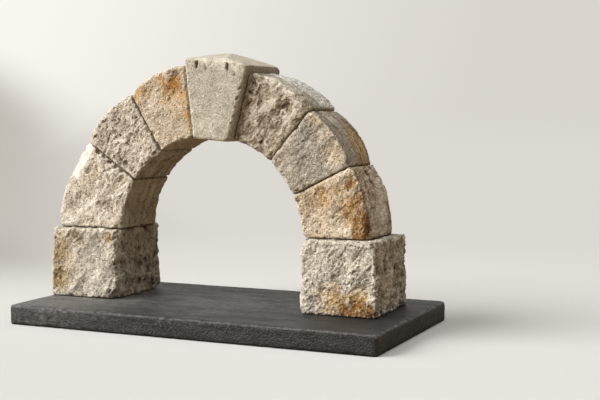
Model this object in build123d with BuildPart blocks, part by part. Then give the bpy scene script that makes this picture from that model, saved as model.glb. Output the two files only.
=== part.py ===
from build123d import *
import os
from math import asin, cos, degrees, radians, sin

# A tabletop stone arch: a ring of hand-split wedge stones between two pier blocks, on a slate slab.
# Millimetres. The origin is the middle of the slab's underside, +X to the right, +Y to the back, +Z up.

# Slate base: its margins around the pier blocks give its length and width
base_thickness = 20.0
base_margin_left = 1.0
base_margin_right = 27.0
base_margin_front = 69.0
base_margin_back = 40.0
base_corner_radius = 4.0
base_edge_radius = 1.6

# Pier blocks
block_width = 82.0
block_depth = 97.0
block_height = 73.0

# Arch ring: its arcs have their centre a little below the tops of the pier blocks
intrados_radius = 104.0
ring_thickness = 68.0
ring_depth = 73.0
springing_rise = 5.0

# Keystone: how far it stands out of the ring, and how much its top falls away from the highest point
keystone_proud_front = 10.0
keystone_proud_back = 4.0
keystone_drop = 4.0
keystone_rise = 18.0
keystone_fall_left = 10.5
keystone_fall_right = 13.0

# Radial joints, in degrees from the left springing over the crown to the right springing
joint_left_lower_angle = 33.6
joint_left_upper_angle = 57.6
joint_key_left_angle = 83.0
joint_key_right_angle = 105.5
joint_right_upper_angle = 130.3
joint_right_lower_angle = 153.6

# Dressing of the stones: depth hewn off a whole face at its highest corner, width worn off the arrises,
# depths of the pieces split off edges and corners, and the round hollows that the chisel left in the faces
face_dressing = 3.0
arris_wear = 1.8
chip = 1.6
spall = 3.0
flake = 5.5
scoop_radius = 60.0
scoop_depth = 1.6

# Turn of the scooping balls, which keeps their seam out of the hollows
ball_seam_angle = 45.0

# Derived places
extrados_radius = intrados_radius + ring_thickness
arch_half_width = intrados_radius + block_width
base_length = base_margin_left + 2 * arch_half_width + base_margin_right
base_width = base_margin_front + block_depth + base_margin_back
arch_x = (base_margin_left - base_margin_right) / 2
arch_y = (base_margin_front - base_margin_back) / 2
bed_z = base_thickness + block_height
arch_z = bed_z - springing_rise

# How far a stone's back swells beyond the ring's outer circle at its start, middle and end, as shares
# of the ring's thickness
left_lower_swell_shares = (0.180, 0.130, 0.055)
left_middle_swell_shares = (0.050, 0.075, 0.020)
left_upper_swell_shares = (0.030, 0.100, 0.070)
right_upper_swell_shares = (0.020, 0.055, 0.005)
right_middle_swell_shares = (-0.025, 0.020, -0.025)
right_lower_swell_shares = (-0.010, 0.020, 0.010)

# Slopes of the hewn faces, as shares of a stone's own axes: along the ring, outwards, and to the front.
# A pier block's axes are the model's: to the right, upwards, and to the front.
left_pier_face_shares = (
    (0.012, 0.018, 1.0),
    (-0.010, 0.018, -1.0),
    (1.0, 0.018, -0.010),
    (-1.0, 0.008, -0.020),
)
right_pier_face_shares = (
    (-0.014, 0.016, 1.0),
    (0.012, 0.016, -1.0),
    (1.0, 0.012, -0.020),
    (-1.0, -0.014, 0.012),
)
left_lower_face_shares = ((-0.014, 0.016, 1.0), (0.014, 0.016, -1.0))
left_middle_face_shares = ((0.016, 0.014, 1.0), (-0.014, 0.016, -1.0))
left_upper_face_shares = ((-0.012, 0.018, 1.0), (0.012, -0.014, -1.0))
keystone_face_shares = ((0.008, 0.012, 1.0), (0.010, 0.012, -1.0))
right_upper_face_shares = ((0.010, -0.018, 1.0), (-0.014, -0.014, -1.0))
right_middle_face_shares = ((-0.014, 0.016, 1.0), (0.014, 0.014, -1.0))
right_lower_face_shares = ((0.016, 0.014, 1.0), (0.014, -0.014, -1.0))

# Pieces split off: a direction in the same axes, and a depth from the furthest corner
left_pier_spall_shares = (
    ((0.60, -0.45, 0.66), flake),
    ((0.75, -0.62, -0.22), spall),
    ((-0.60, 0.30, -0.74), spall),
    ((-0.35, 0.68, 0.65), chip),
    ((-0.71, 0.06, 0.70), chip),
)
right_pier_spall_shares = (
    ((-0.58, 0.58, 0.57), flake),
    ((0.70, 0.20, 0.68), spall),
    ((0.74, 0.63, 0.22), spall),
    ((-0.62, -0.38, -0.68), spall),
    ((0.05, 0.68, 0.73), chip),
)
left_lower_spall_shares = (
    ((0.16, 0.42, 0.90), flake),
    ((-0.45, 0.60, 0.66), chip),
    ((-0.06, -0.68, 0.73), chip),
    ((0.16, 0.70, -0.70), spall),
)
left_middle_spall_shares = (
    ((-0.60, 0.56, 0.57), spall),
    ((0.50, 0.62, 0.60), chip),
    ((0.55, -0.55, 0.62), chip),
    ((-0.10, 0.72, -0.69), spall),
)
left_upper_spall_shares = (
    ((-0.70, 0.62, 0.35), spall),
    ((0.45, 0.66, 0.60), chip),
    ((0.35, -0.62, 0.70), chip),
    ((0.40, 0.66, -0.64), spall),
)
keystone_spall_shares = (
    ((0.02, 0.74, 0.67), spall),
    ((-0.66, 0.71, 0.24), chip),
    ((0.78, 0.60, -0.15), chip),
    ((0.02, 0.66, -0.75), spall),
    ((0.50, 0.66, -0.56), spall),
    ((0.55, -0.55, 0.63), chip),
)
right_upper_spall_shares = (
    ((0.35, 0.70, 0.62), spall),
    ((-0.55, 0.62, 0.56), chip),
    ((0.58, -0.52, 0.63), chip),
    ((-0.40, 0.66, -0.64), spall),
)
right_middle_spall_shares = (
    ((-0.55, 0.60, 0.58), chip),
    ((0.45, 0.66, 0.60), chip),
    ((-0.15, -0.65, 0.74), chip),
    ((0.30, 0.70, -0.65), spall),
)
right_lower_spall_shares = (
    ((-0.58, 0.54, 0.61), chip),
    ((0.22, 0.68, 0.70), spall),
    ((0.55, -0.60, 0.58), chip),
    ((-0.25, 0.72, -0.65), spall),
)

# Scooped hollows, face by face in the order of the hewn faces: place across and up the face from its middle,
# as shares of its size, and depth as a share of the common depth
left_pier_scoop_shares = (
    (
        (-0.27, 0.12, 1.0),
        (-0.10, 0.38, 0.8),
        (0.27, 0.28, 1.2),
        (0.14, -0.06, 0.7),
        (-0.32, -0.27, 1.1),
        (0.03, -0.38, 0.8),
        (0.41, -0.20, 1.0),
    ),
    (
        (-0.30, 0.22, 1.0),
        (0.06, 0.34, 0.8),
        (0.38, 0.18, 1.0),
        (-0.16, -0.10, 0.9),
        (0.20, -0.14, 1.1),
        (-0.36, -0.40, 0.8),
        (0.02, -0.44, 1.0),
    ),
    (
        (-0.24, 0.34, 0.9),
        (0.15, 0.26, 1.1),
        (-0.38, -0.04, 0.8),
        (0.02, -0.10, 1.0),
        (0.38, -0.06, 0.8),
        (-0.18, -0.42, 1.1),
        (0.24, -0.40, 1.3),
    ),
    (
        (-0.32, 0.30, 1.0),
        (0.04, 0.34, 0.8),
        (0.33, 0.14, 1.0),
        (-0.14, -0.06, 1.0),
        (0.20, -0.12, 0.8),
        (-0.34, -0.38, 0.9),
        (0.06, -0.42, 1.1),
    ),
)
right_pier_scoop_shares = (
    (
        (-0.28, 0.31, 1.1),
        (0.04, 0.20, 0.9),
        (0.35, 0.32, 0.9),
        (-0.38, -0.06, 1.0),
        (-0.06, -0.13, 1.1),
        (0.36, -0.14, 1.2),
        (-0.24, -0.40, 0.9),
        (0.14, -0.42, 0.8),
    ),
    (
        (-0.36, 0.22, 1.0),
        (-0.04, 0.36, 0.9),
        (0.30, 0.24, 1.2),
        (-0.18, -0.12, 0.9),
        (0.16, -0.10, 1.0),
        (-0.36, -0.42, 1.1),
        (0.34, -0.40, 0.9),
    ),
    (
        (-0.32, 0.32, 1.0),
        (0.02, 0.26, 1.1),
        (0.32, 0.29, 0.8),
        (-0.18, -0.06, 0.9),
        (0.20, -0.10, 1.2),
        (-0.33, -0.35, 0.9),
        (0.04, -0.42, 0.9),
    ),
    (
        (-0.26, 0.28, 0.9),
        (0.12, 0.34, 1.1),
        (0.40, 0.06, 0.8),
        (-0.36, -0.10, 1.0),
        (0.02, -0.08, 0.8),
        (-0.14, -0.42, 1.1),
        (0.26, -0.40, 1.0),
    ),
)
left_lower_scoop_shares = (
    ((-0.22, 0.22, 1.0), (0.16, 0.06, 0.8), (-0.20, -0.24, 1.1), (0.26, -0.34, 0.9)),
    ((-0.24, -0.18, 0.9), (0.14, -0.30, 1.1), (-0.16, 0.28, 1.0), (0.24, 0.20, 0.8)),
)
left_middle_scoop_shares = (
    ((-0.22, 0.14, 1.1), (0.20, 0.30, 0.9), (0.12, -0.14, 1.0), (-0.20, -0.28, 0.8)),
    ((-0.20, 0.26, 0.9), (0.20, 0.06, 1.1), (-0.16, -0.20, 1.0), (0.19, -0.30, 0.8)),
)
left_upper_scoop_shares = (
    ((-0.20, 0.30, 0.9), (0.20, 0.16, 1.1), (-0.14, -0.12, 0.8), (0.18, -0.32, 0.8)),
    ((-0.22, 0.12, 1.0), (0.18, 0.32, 0.9), (0.12, -0.12, 1.1), (-0.18, -0.29, 0.8)),
)
right_upper_scoop_shares = (
    ((-0.18, 0.28, 1.1), (0.22, 0.24, 1.0), (0.10, -0.12, 1.2), (-0.22, -0.22, 0.9)),
    ((-0.22, 0.24, 0.9), (0.20, 0.10, 1.0), (-0.12, -0.18, 1.1), (0.19, -0.28, 0.8)),
)
right_middle_scoop_shares = (
    ((-0.20, 0.24, 0.8), (0.22, 0.28, 1.0), (0.12, -0.10, 0.7), (-0.18, -0.28, 0.8)),
    ((-0.18, 0.16, 1.0), (0.22, 0.30, 0.9), (0.16, -0.16, 1.1), (-0.22, -0.30, 0.8)),
)
right_lower_scoop_shares = (
    ((-0.18, 0.28, 0.9), (0.22, 0.16, 1.0), (-0.22, -0.14, 0.8), (0.14, -0.30, 0.9)),
    ((-0.22, 0.26, 0.8), (0.18, 0.14, 1.1), (-0.14, -0.16, 1.0), (0.18, -0.29, 0.9)),
)

# Slopes of the keystone's top, which falls to the right and to the front left of a low ridge
keystone_top_right_shares = (0.21, 1.0, 0.0)
keystone_top_left_shares = (-0.06, 1.0, 0.11)


def bed_angle(radius):
    """Angle at which a circle about the arch centre meets the level top of a pier block."""
    return degrees(asin(springing_rise / radius))


def ring_point(radius, angle):
    """Point of the ring's elevation at a radius and an angle, in the plane of X and Z."""
    return (arch_x - radius * cos(radians(angle)), arch_z + radius * sin(radians(angle)))


def stone_axes(angle):
    """A ring stone's own axes: along the ring, outwards, and to the front."""
    along = Vector(sin(radians(angle)), 0, cos(radians(angle)))
    outwards = Vector(-cos(radians(angle)), 0, sin(radians(angle)))
    return along, outwards, Vector(0, -1, 0)


def hewn_plane(stone, axes, shares, depth):
    """Plane that takes a depth off the furthest corner of a stone, in a direction of the stone's axes."""
    direction = sum((axis * share for axis, share in zip(axes, shares)), Vector(0, 0, 0)).normalized()
    furthest = max(stone.vertices(), key=lambda vertex: direction.dot(Vector(*vertex)))
    return Plane(origin=Vector(*furthest) - direction * depth, z_dir=direction)


def scoop_centres(face, middle, across, up, places):
    """Centres of the balls that scoop a hewn face, at shares across and up it from the stone's middle."""
    centres = []
    for across_share, up_share, depth_share in places:
        place = middle + across * across_share + up * up_share
        place -= face.z_dir * face.z_dir.dot(place - face.origin)
        centres.append(place + face.z_dir * (scoop_radius - depth_share * scoop_depth))
    return centres


def write(part, name):
    """Name a finished piece and write it."""
    part.label = name
    export_step(part, f"parts/{name}.step")


def slate_base():
    """The slab: square-sawn slate with eased corners and edges."""
    with BuildPart() as slab:
        with BuildSketch(Plane.XY):
            RectangleRounded(base_length, base_width, base_corner_radius)
        extrude(amount=base_thickness)
        fillet(slab.edges().group_by(Axis.Z)[-1], radius=base_edge_radius)
        chamfer(slab.edges().group_by(Axis.Z)[0], length=base_edge_radius / 2)
    return slab.part


def pier_block(side, face_shares, spall_shares, scoop_shares):
    """A squared block under one springing: side is -1 on the left and 1 on the right."""
    footing = Plane(origin=(arch_x + side * (intrados_radius + block_width / 2), arch_y, base_thickness))
    axes = (Vector(1, 0, 0), Vector(0, 0, 1), Vector(0, -1, 0))
    middle = footing.origin + axes[1] * (block_height / 2)
    width_run = axes[0] * block_width
    depth_run = axes[2] * -block_depth
    face_runs = (width_run, width_run, depth_run, depth_run)
    hewn_faces = []
    with BuildPart() as block:
        with BuildSketch(footing):
            Rectangle(block_width, block_depth)
        extrude(amount=block_height)
        for shares in face_shares:
            hewn_faces.append(hewn_plane(block, axes, shares, face_dressing))
            split(bisect_by=hewn_faces[-1], keep=Keep.BOTTOM)
        chamfer(block.edges(), length=arris_wear)
        for face, across, places in zip(hewn_faces, face_runs, scoop_shares):
            with Locations(*scoop_centres(face, middle, across, axes[1] * block_height, places)):
                Sphere(scoop_radius, rotation=(0, 0, ball_seam_angle), mode=Mode.SUBTRACT)
        for shares, depth in spall_shares:
            split(bisect_by=hewn_plane(block, axes, shares, depth), keep=Keep.BOTTOM)
    return block.part


def voussoir(inner_angles, outer_angles, swell_shares, face_shares, spall_shares, scoop_shares):
    """A wedge stone of the ring: straight joints, a hollow soffit arc and a swelling back."""
    inner_start, inner_end = inner_angles
    outer_start, outer_end = outer_angles
    inner_middle = (inner_start + inner_end) / 2
    outer_middle = (outer_start + outer_end) / 2
    back_radii = [extrados_radius + share * ring_thickness for share in swell_shares]
    soffit_start = ring_point(intrados_radius, inner_start)
    soffit_end = ring_point(intrados_radius, inner_end)
    back_start = ring_point(back_radii[0], outer_start)
    back_middle = ring_point(back_radii[1], outer_middle)
    back_end = ring_point(back_radii[2], outer_end)
    axes = stone_axes(inner_middle)
    middle_radius = intrados_radius + ring_thickness / 2
    middle_x, middle_z = ring_point(middle_radius, inner_middle)
    middle = Vector(middle_x, arch_y, middle_z)
    along_run = axes[0] * (middle_radius * radians(inner_end - inner_start))
    hewn_faces = []
    with BuildPart() as stone:
        with BuildSketch(Plane.XZ.offset(-arch_y - ring_depth / 2)):
            with BuildLine():
                ThreePointArc(soffit_start, ring_point(intrados_radius, inner_middle), soffit_end)
                Line(soffit_end, back_end)
                ThreePointArc(back_end, back_middle, back_start)
                Line(back_start, soffit_start)
            make_face()
        extrude(amount=ring_depth)
        for shares in face_shares:
            hewn_faces.append(hewn_plane(stone, axes, shares, face_dressing))
            split(bisect_by=hewn_faces[-1], keep=Keep.BOTTOM)
        chamfer(stone.edges(), length=arris_wear)
        for face, places in zip(hewn_faces, scoop_shares):
            with Locations(*scoop_centres(face, middle, along_run, axes[1] * ring_thickness, places)):
                Sphere(scoop_radius, rotation=(0, 0, ball_seam_angle), mode=Mode.SUBTRACT)
        for shares, depth in spall_shares:
            split(bisect_by=hewn_plane(stone, axes, shares, depth), keep=Keep.BOTTOM)
    return stone.part


def keystone():
    """The middle stone: it stands out of the ring on four sides and has a flat soffit and a sloping top."""
    middle_angle = (joint_key_left_angle + joint_key_right_angle) / 2
    taper = cos(radians((joint_key_right_angle - joint_key_left_angle) / 2))
    soffit_radius = (intrados_radius - keystone_drop) / taper
    top_radius = (extrados_radius + keystone_rise) / taper
    axes = stone_axes(middle_angle)
    with BuildPart() as stone:
        with BuildSketch(Plane.XZ.offset(-arch_y - ring_depth / 2 - keystone_proud_back)):
            with BuildLine():
                Polyline(
                    ring_point(soffit_radius, joint_key_left_angle),
                    ring_point(soffit_radius, joint_key_right_angle),
                    ring_point(top_radius, joint_key_right_angle),
                    ring_point(top_radius, joint_key_left_angle),
                    close=True,
                )
            make_face()
        extrude(amount=keystone_proud_front + ring_depth + keystone_proud_back)
        for shares in keystone_face_shares:
            split(bisect_by=hewn_plane(stone, axes, shares, face_dressing), keep=Keep.BOTTOM)
        right_slope = hewn_plane(stone, axes, keystone_top_right_shares, keystone_fall_right)
        left_slope = hewn_plane(stone, axes, keystone_top_left_shares, keystone_fall_left)
        chamfer(stone.edges(), length=arris_wear)
        split(bisect_by=right_slope, keep=Keep.BOTTOM)
        split(bisect_by=left_slope, keep=Keep.BOTTOM)
        for shares, depth in keystone_spall_shares:
            split(bisect_by=hewn_plane(stone, axes, shares, depth), keep=Keep.BOTTOM)
    return stone.part


def between(start, end):
    """Inner and outer angles of a stone between two radial joints."""
    return (start, end), (start, end)


def lower_left_angles():
    """Inner and outer angles of the first stone, which stands on the level bed of the left pier."""
    foot_radius = extrados_radius + left_lower_swell_shares[0] * ring_thickness
    inner_start = bed_angle(intrados_radius)
    outer_start = bed_angle(foot_radius)
    return (inner_start, joint_left_lower_angle), (outer_start, joint_left_lower_angle)


def lower_right_angles():
    """Inner and outer angles of the last stone, which stands on the level bed of the right pier."""
    foot_radius = extrados_radius + right_lower_swell_shares[2] * ring_thickness
    half_turn_angle = 180
    inner_end = half_turn_angle - bed_angle(intrados_radius)
    outer_end = half_turn_angle - bed_angle(foot_radius)
    return (joint_right_lower_angle, inner_end), (joint_right_lower_angle, outer_end)


# Each ring stone: its name, angles, the swell of its back, the slopes of its faces, and what is split off
# and scooped out
ring_stones = (
    (
        "left_voussoir_lower",
        lower_left_angles(),
        left_lower_swell_shares,
        left_lower_face_shares,
        left_lower_spall_shares,
        left_lower_scoop_shares,
    ),
    (
        "left_voussoir_middle",
        between(joint_left_lower_angle, joint_left_upper_angle),
        left_middle_swell_shares,
        left_middle_face_shares,
        left_middle_spall_shares,
        left_middle_scoop_shares,
    ),
    (
        "left_voussoir_upper",
        between(joint_left_upper_angle, joint_key_left_angle),
        left_upper_swell_shares,
        left_upper_face_shares,
        left_upper_spall_shares,
        left_upper_scoop_shares,
    ),
    (
        "right_voussoir_upper",
        between(joint_key_right_angle, joint_right_upper_angle),
        right_upper_swell_shares,
        right_upper_face_shares,
        right_upper_spall_shares,
        right_upper_scoop_shares,
    ),
    (
        "right_voussoir_middle",
        between(joint_right_upper_angle, joint_right_lower_angle),
        right_middle_swell_shares,
        right_middle_face_shares,
        right_middle_spall_shares,
        right_middle_scoop_shares,
    ),
    (
        "right_voussoir_lower",
        lower_right_angles(),
        right_lower_swell_shares,
        right_lower_face_shares,
        right_lower_spall_shares,
        right_lower_scoop_shares,
    ),
)

os.makedirs("parts", exist_ok=True)
write(slate_base(), "slate_base")
left_pier_shares = (left_pier_face_shares, left_pier_spall_shares, left_pier_scoop_shares)
right_pier_shares = (right_pier_face_shares, right_pier_spall_shares, right_pier_scoop_shares)
write(pier_block(-1, *left_pier_shares), "left_pier_block")
write(pier_block(1, *right_pier_shares), "right_pier_block")
for name, (inner_angles, outer_angles), *stone_shares in ring_stones:
    write(voussoir(inner_angles, outer_angles, *stone_shares), name)
write(keystone(), "keystone")
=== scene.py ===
import math
import bpy
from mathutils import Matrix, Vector, noise


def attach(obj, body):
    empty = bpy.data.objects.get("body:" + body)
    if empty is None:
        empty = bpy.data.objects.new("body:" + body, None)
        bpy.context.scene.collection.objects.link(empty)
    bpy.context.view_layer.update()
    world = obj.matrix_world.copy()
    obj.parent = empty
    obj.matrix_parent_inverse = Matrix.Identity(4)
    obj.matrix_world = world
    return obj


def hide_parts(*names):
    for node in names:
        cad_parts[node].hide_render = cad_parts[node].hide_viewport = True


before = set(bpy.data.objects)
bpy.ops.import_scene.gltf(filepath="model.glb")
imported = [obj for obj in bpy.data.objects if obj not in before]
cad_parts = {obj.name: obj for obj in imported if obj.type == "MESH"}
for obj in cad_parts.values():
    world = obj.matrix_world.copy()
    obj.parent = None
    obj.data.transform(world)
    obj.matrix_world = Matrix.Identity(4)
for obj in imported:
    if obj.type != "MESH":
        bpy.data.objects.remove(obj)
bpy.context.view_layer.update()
mm = 0.001  # the frame is in metres, every size below is in millimetres
stainSeed = 7
noise.seed_set(stainSeed)  # without a seed the edges of the stains change from run to run
archCentre = (-13.0, 88.0)  # x and z of the ring's centre
bedHeights = (20.0, 93.0)  # top of the slate, top of the pier blocks
lipReach = 2.2  # how far the dirt and painted shade beside a joint go
softStep = {"interpolation_type": "SMOOTHSTEP"}  # for a range that eases in and out
middle = (0.5, 0.5, 0.5)  # taken off a pattern that runs from 0 to 1, so that it goes both ways


def hexColour(code):  # sRGB hex to linear
    channels = [int(code[i:i + 2], 16) / 255 for i in (1, 3, 5)]
    linear = [c / 12.92 if c <= 0.04045 else ((c + 0.055) / 1.055) ** 2.4 for c in channels]
    return (*linear, 1.0)


def addNode(tree, kind, inputs=(), **settings):
    node = tree.nodes.new(kind)
    for name, value in settings.items():
        setattr(node, name, value)
    pairs = inputs.items() if isinstance(inputs, dict) else enumerate(inputs)
    for key, value in pairs:
        if isinstance(value, bpy.types.Node):  # a node on its own means its first live output
            value = next(out for out in value.outputs if out.enabled)
        if isinstance(value, bpy.types.NodeSocket):
            tree.links.new(value, node.inputs[key])
        else:
            node.inputs[key].default_value = value
    return node


def makeActive(piece):
    bpy.ops.object.select_all(action="DESELECT")
    piece.select_set(True)
    bpy.context.view_layer.objects.active = piece


def applyModifier(piece, name, kind, **settings):
    makeActive(piece)
    modifier = piece.modifiers.new(name, kind)
    for key, value in settings.items():
        setattr(modifier, key, value)
    bpy.ops.object.modifier_apply(modifier=name)


def roughBlank(nodeName, pieceName, voxel):  # an even, fine mesh of a CAD stone, ready to be roughened
    blank = bpy.data.objects.new(pieceName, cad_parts[nodeName].data.copy())
    bpy.context.scene.collection.objects.link(blank)
    blank.data.materials.clear()
    makeActive(blank)
    bpy.ops.object.mode_set(mode="EDIT")
    bpy.ops.mesh.select_all(action="SELECT")
    bpy.ops.mesh.remove_doubles(threshold=0.002 * mm)
    bpy.ops.object.mode_set(mode="OBJECT")
    applyModifier(blank, "evenMesh", "REMESH", mode="VOXEL", voxel_size=voxel * mm, use_smooth_shade=True)
    applyModifier(blank, "easeMesh", "SMOOTH", factor=0.5, iterations=3)
    return blank


def jointSeat(angle, gap=0.05, reach=lipReach):  # a radial joint: a point, its normal, half gap and the reach of its dirt and painted shade
    turn = math.radians(angle)
    point = (archCentre[0], 0.0, archCentre[1])
    return point, (math.sin(turn), 0.0, math.cos(turn)), gap, reach, None


def bedSeat(height, gap=0.1, footprint=None):  # a level bed, and the middle and half size of what it carries
    return (0.0, 0.0, height), (0.0, 0.0, 1.0), gap, lipReach, footprint


carving = {  # how the relief meets joints, edges and hollows, in millimetres or in shares of 1
    "seatFade": (3.0, 0.8),  # distances from a joint between which its face goes flat
    "seatFacing": (0.75, 0.95),  # how squarely such a face looks at the joint
    "lipFade": 1.6,  # over this the dirt and painted shade beside a joint fade
    "marginFrom": 2.0,  # where the smoother margin beside a joint begins to roughen
    "ledgeFade": (2.5, 0.5),  # distances beyond the stone above over which a bed goes rough
    "calmCore": 0.4,  # share of a calm place's radius that is calm all over
    "arrisBulge": (0.12, 0.75),  # how far an edge stands out of the smoothed shape
    "driftSize": 12.0,  # size of the wandering that makes outlines ragged
    "patchSize": 26.0,  # size of the rough and calm patches
    "patchRange": (0.38, 0.60),
    "rindFacing": (0.4, 0.9),  # how squarely a face looks into or out of the arch
    "bowl": (2.4, -0.6),  # rim and floor of a scooped hollow, as shares of its depth
    "crackPatch": 19.0,  # size of the stretches where cracks open
    "crackOpen": (0.62, 0.70, 0.3),  # where they start and are full, and how much the share lowers that
    "chipReach": (0.75, 0.1),  # from the rim of a chip to its floor
    "dentEdge": (1.0, 0.3),  # from the rim of a notch to its floor
    "seatShare": 0.4,  # share of its depth that a chip keeps on a joint face
}


def reliefTree(name, cut, seats):  # node group that moves an even mesh into a split stone surface
    tree = bpy.data.node_groups.new(name, "GeometryNodeTree")
    for way in ("INPUT", "OUTPUT"):
        tree.interface.new_socket(name="Geometry", in_out=way, socket_type="NodeSocketGeometry")
    blank = addNode(tree, "NodeGroupInput")
    normal = addNode(tree, "GeometryNodeInputNormal")
    place = addNode(tree, "GeometryNodeInputPosition")
    place = addNode(tree, "ShaderNodeVectorMath", {0: place, "Scale": 1 / mm}, operation="SCALE")
    own = addNode(tree, "ShaderNodeVectorMath", (place, cut["seed"]), operation="ADD")

    bare = 1.0  # 0 on the joint faces and beds, so that the stones still sit face to face
    jointDirtAndShade = 0.0  # 1 in a joint and along its lips, where dirt collects and shade is painted
    back = 0.0  # how far a joint face stands back from its neighbour
    draft = 1.0  # less than 1 in the smoother margin along a joint
    for point, facing, gap, reach, footprint in seats:
        away = addNode(tree, "ShaderNodeVectorMath", (place, point), operation="SUBTRACT")
        away = addNode(tree, "ShaderNodeVectorMath", (away, facing), operation="DOT_PRODUCT")
        away = addNode(tree, "ShaderNodeMath", (away,), operation="ABSOLUTE")
        flat = addNode(tree, "ShaderNodeVectorMath", (normal, facing), operation="DOT_PRODUCT")
        flat = addNode(tree, "ShaderNodeMath", (flat,), operation="ABSOLUTE")
        flat = addNode(tree, "ShaderNodeMapRange", (flat, *carving["seatFacing"]), **softStep)
        lip = addNode(tree, "ShaderNodeMapRange", (away, reach, reach - carving["lipFade"]), **softStep)
        roughen = (carving["marginFrom"], cut["margin"], cut["smooth"], 1.0)
        margin = addNode(tree, "ShaderNodeMapRange", (away, *roughen), **softStep)
        draft = addNode(tree, "ShaderNodeMath", (draft, margin), operation="MULTIPLY")
        seated = addNode(tree, "ShaderNodeMapRange", (away, *carving["seatFade"]), **softStep)
        seated = addNode(tree, "ShaderNodeMath", (seated, flat), operation="MULTIPLY")
        if footprint:  # a ledge beside the stone above is as rough as the other faces
            beyond = addNode(tree, "ShaderNodeVectorMath", (place, footprint[0]), operation="SUBTRACT")
            beyond = addNode(tree, "ShaderNodeVectorMath", (beyond,), operation="ABSOLUTE")
            beyond = addNode(tree, "ShaderNodeVectorMath", (beyond, footprint[1]), operation="SUBTRACT")
            beyond = addNode(tree, "ShaderNodeSeparateXYZ", (beyond,)).outputs
            beyond = addNode(tree, "ShaderNodeMath", (beyond["X"], beyond["Y"]), operation="MAXIMUM")
            under = addNode(tree, "ShaderNodeMapRange", (beyond, *carving["ledgeFade"]), **softStep)
            seated = addNode(tree, "ShaderNodeMath", (seated, under), operation="MULTIPLY")
            lip = addNode(tree, "ShaderNodeMath", (lip, under), operation="MULTIPLY")
        jointDirtAndShade = addNode(tree, "ShaderNodeMath", (jointDirtAndShade, lip), operation="MAXIMUM")
        back = addNode(tree, "ShaderNodeMath", (seated, gap, back), operation="MULTIPLY_ADD")
        free = addNode(tree, "ShaderNodeMath", (1.0, seated), operation="SUBTRACT")
        bare = addNode(tree, "ShaderNodeMath", (bare, free), operation="MULTIPLY")

    for centre, radius, most in cut["calms"]:  # places that split cleanly
        near = addNode(tree, "ShaderNodeVectorMath", (place, centre), operation="DISTANCE")
        roughen = (radius * carving["calmCore"], radius, most, 1.0)
        near = addNode(tree, "ShaderNodeMapRange", (near, *roughen), **softStep)
        draft = addNode(tree, "ShaderNodeMath", (draft, near), operation="MULTIPLY")

    rounds = {0: place, "Iterations": cut["ease"]}
    eased = addNode(tree, "GeometryNodeBlurAttribute", rounds, data_type="FLOAT_VECTOR")
    bulge = addNode(tree, "ShaderNodeVectorMath", (place, eased), operation="SUBTRACT")
    bulge = addNode(tree, "ShaderNodeVectorMath", (bulge, normal), operation="DOT_PRODUCT")
    arris = addNode(tree, "ShaderNodeMapRange", (bulge, *carving["arrisBulge"]), **softStep)

    drift = {"Vector": own, "Scale": 1 / carving["driftSize"], "Detail": 4.0}
    drift = addNode(tree, "ShaderNodeTexNoise", drift).outputs["Color"]
    drift = addNode(tree, "ShaderNodeVectorMath", (drift, middle), operation="SUBTRACT")
    drift = addNode(tree, "ShaderNodeVectorMath", {0: drift, "Scale": cut["wander"]}, operation="SCALE")
    ragged = addNode(tree, "ShaderNodeVectorMath", (place, drift), operation="ADD")
    drift = addNode(tree, "ShaderNodeVectorMath", (own, drift), operation="ADD")
    strokeAngle, stretch = cut["strokes"]  # the chisel worked one way, so the flakes are longer that way
    laid = {"Vector": drift, "Angle": math.radians(strokeAngle)}
    laid = addNode(tree, "ShaderNodeVectorRotate", laid, rotation_type="Y_AXIS")
    laid = addNode(tree, "ShaderNodeVectorMath", (laid, (1 / stretch, 1.0, 1.0)), operation="MULTIPLY")

    swellSize, swellHeight = cut["swell"]
    swell = addNode(tree, "ShaderNodeTexNoise", {"Vector": own, "Scale": 1 / swellSize, "Detail": 1.0})
    height = addNode(tree, "ShaderNodeMath", (swell, swellHeight * 2, -swellHeight), operation="MULTIPLY_ADD")

    patch = {"Vector": own, "Scale": 1 / carving["patchSize"], "Detail": 1.0}
    patch = addNode(tree, "ShaderNodeTexNoise", patch)
    patch = addNode(tree, "ShaderNodeMapRange", (patch, *carving["patchRange"], cut["calm"], 1.0))
    ringCentre = (archCentre[0], 0.0, archCentre[1])
    outward = addNode(tree, "ShaderNodeVectorMath", (place, ringCentre), operation="SUBTRACT")
    outward = addNode(tree, "ShaderNodeVectorMath", (outward, (1.0, 0.0, 1.0)), operation="MULTIPLY")
    outward = addNode(tree, "ShaderNodeVectorMath", (outward,), operation="NORMALIZE")
    outward = addNode(tree, "ShaderNodeVectorMath", (outward, normal), operation="DOT_PRODUCT")
    outward = addNode(tree, "ShaderNodeMath", (outward,), operation="ABSOLUTE")
    roughen = (*carving["rindFacing"], 1.0, cut["rind"])
    outward = addNode(tree, "ShaderNodeMapRange", (outward, *roughen), **softStep)
    outward = addNode(tree, "ShaderNodeMath", (outward, draft), operation="MULTIPLY")
    patch = addNode(tree, "ShaderNodeMath", (patch, outward), operation="MULTIPLY")
    rim, floor = carving["bowl"]
    for size, depth in cut["flakes"]:  # scooped hollows with sharp ridges between them
        bowl = addNode(tree, "ShaderNodeTexVoronoi", {"Vector": laid, "Scale": 1 / size})
        bowl = addNode(tree, "ShaderNodeMath", (bowl, 2.0), operation="POWER")
        bowl = addNode(tree, "ShaderNodeMath", (bowl, depth * rim, depth * floor), operation="MULTIPLY_ADD")
        height = addNode(tree, "ShaderNodeMath", (bowl, patch, height), operation="MULTIPLY_ADD")

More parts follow.
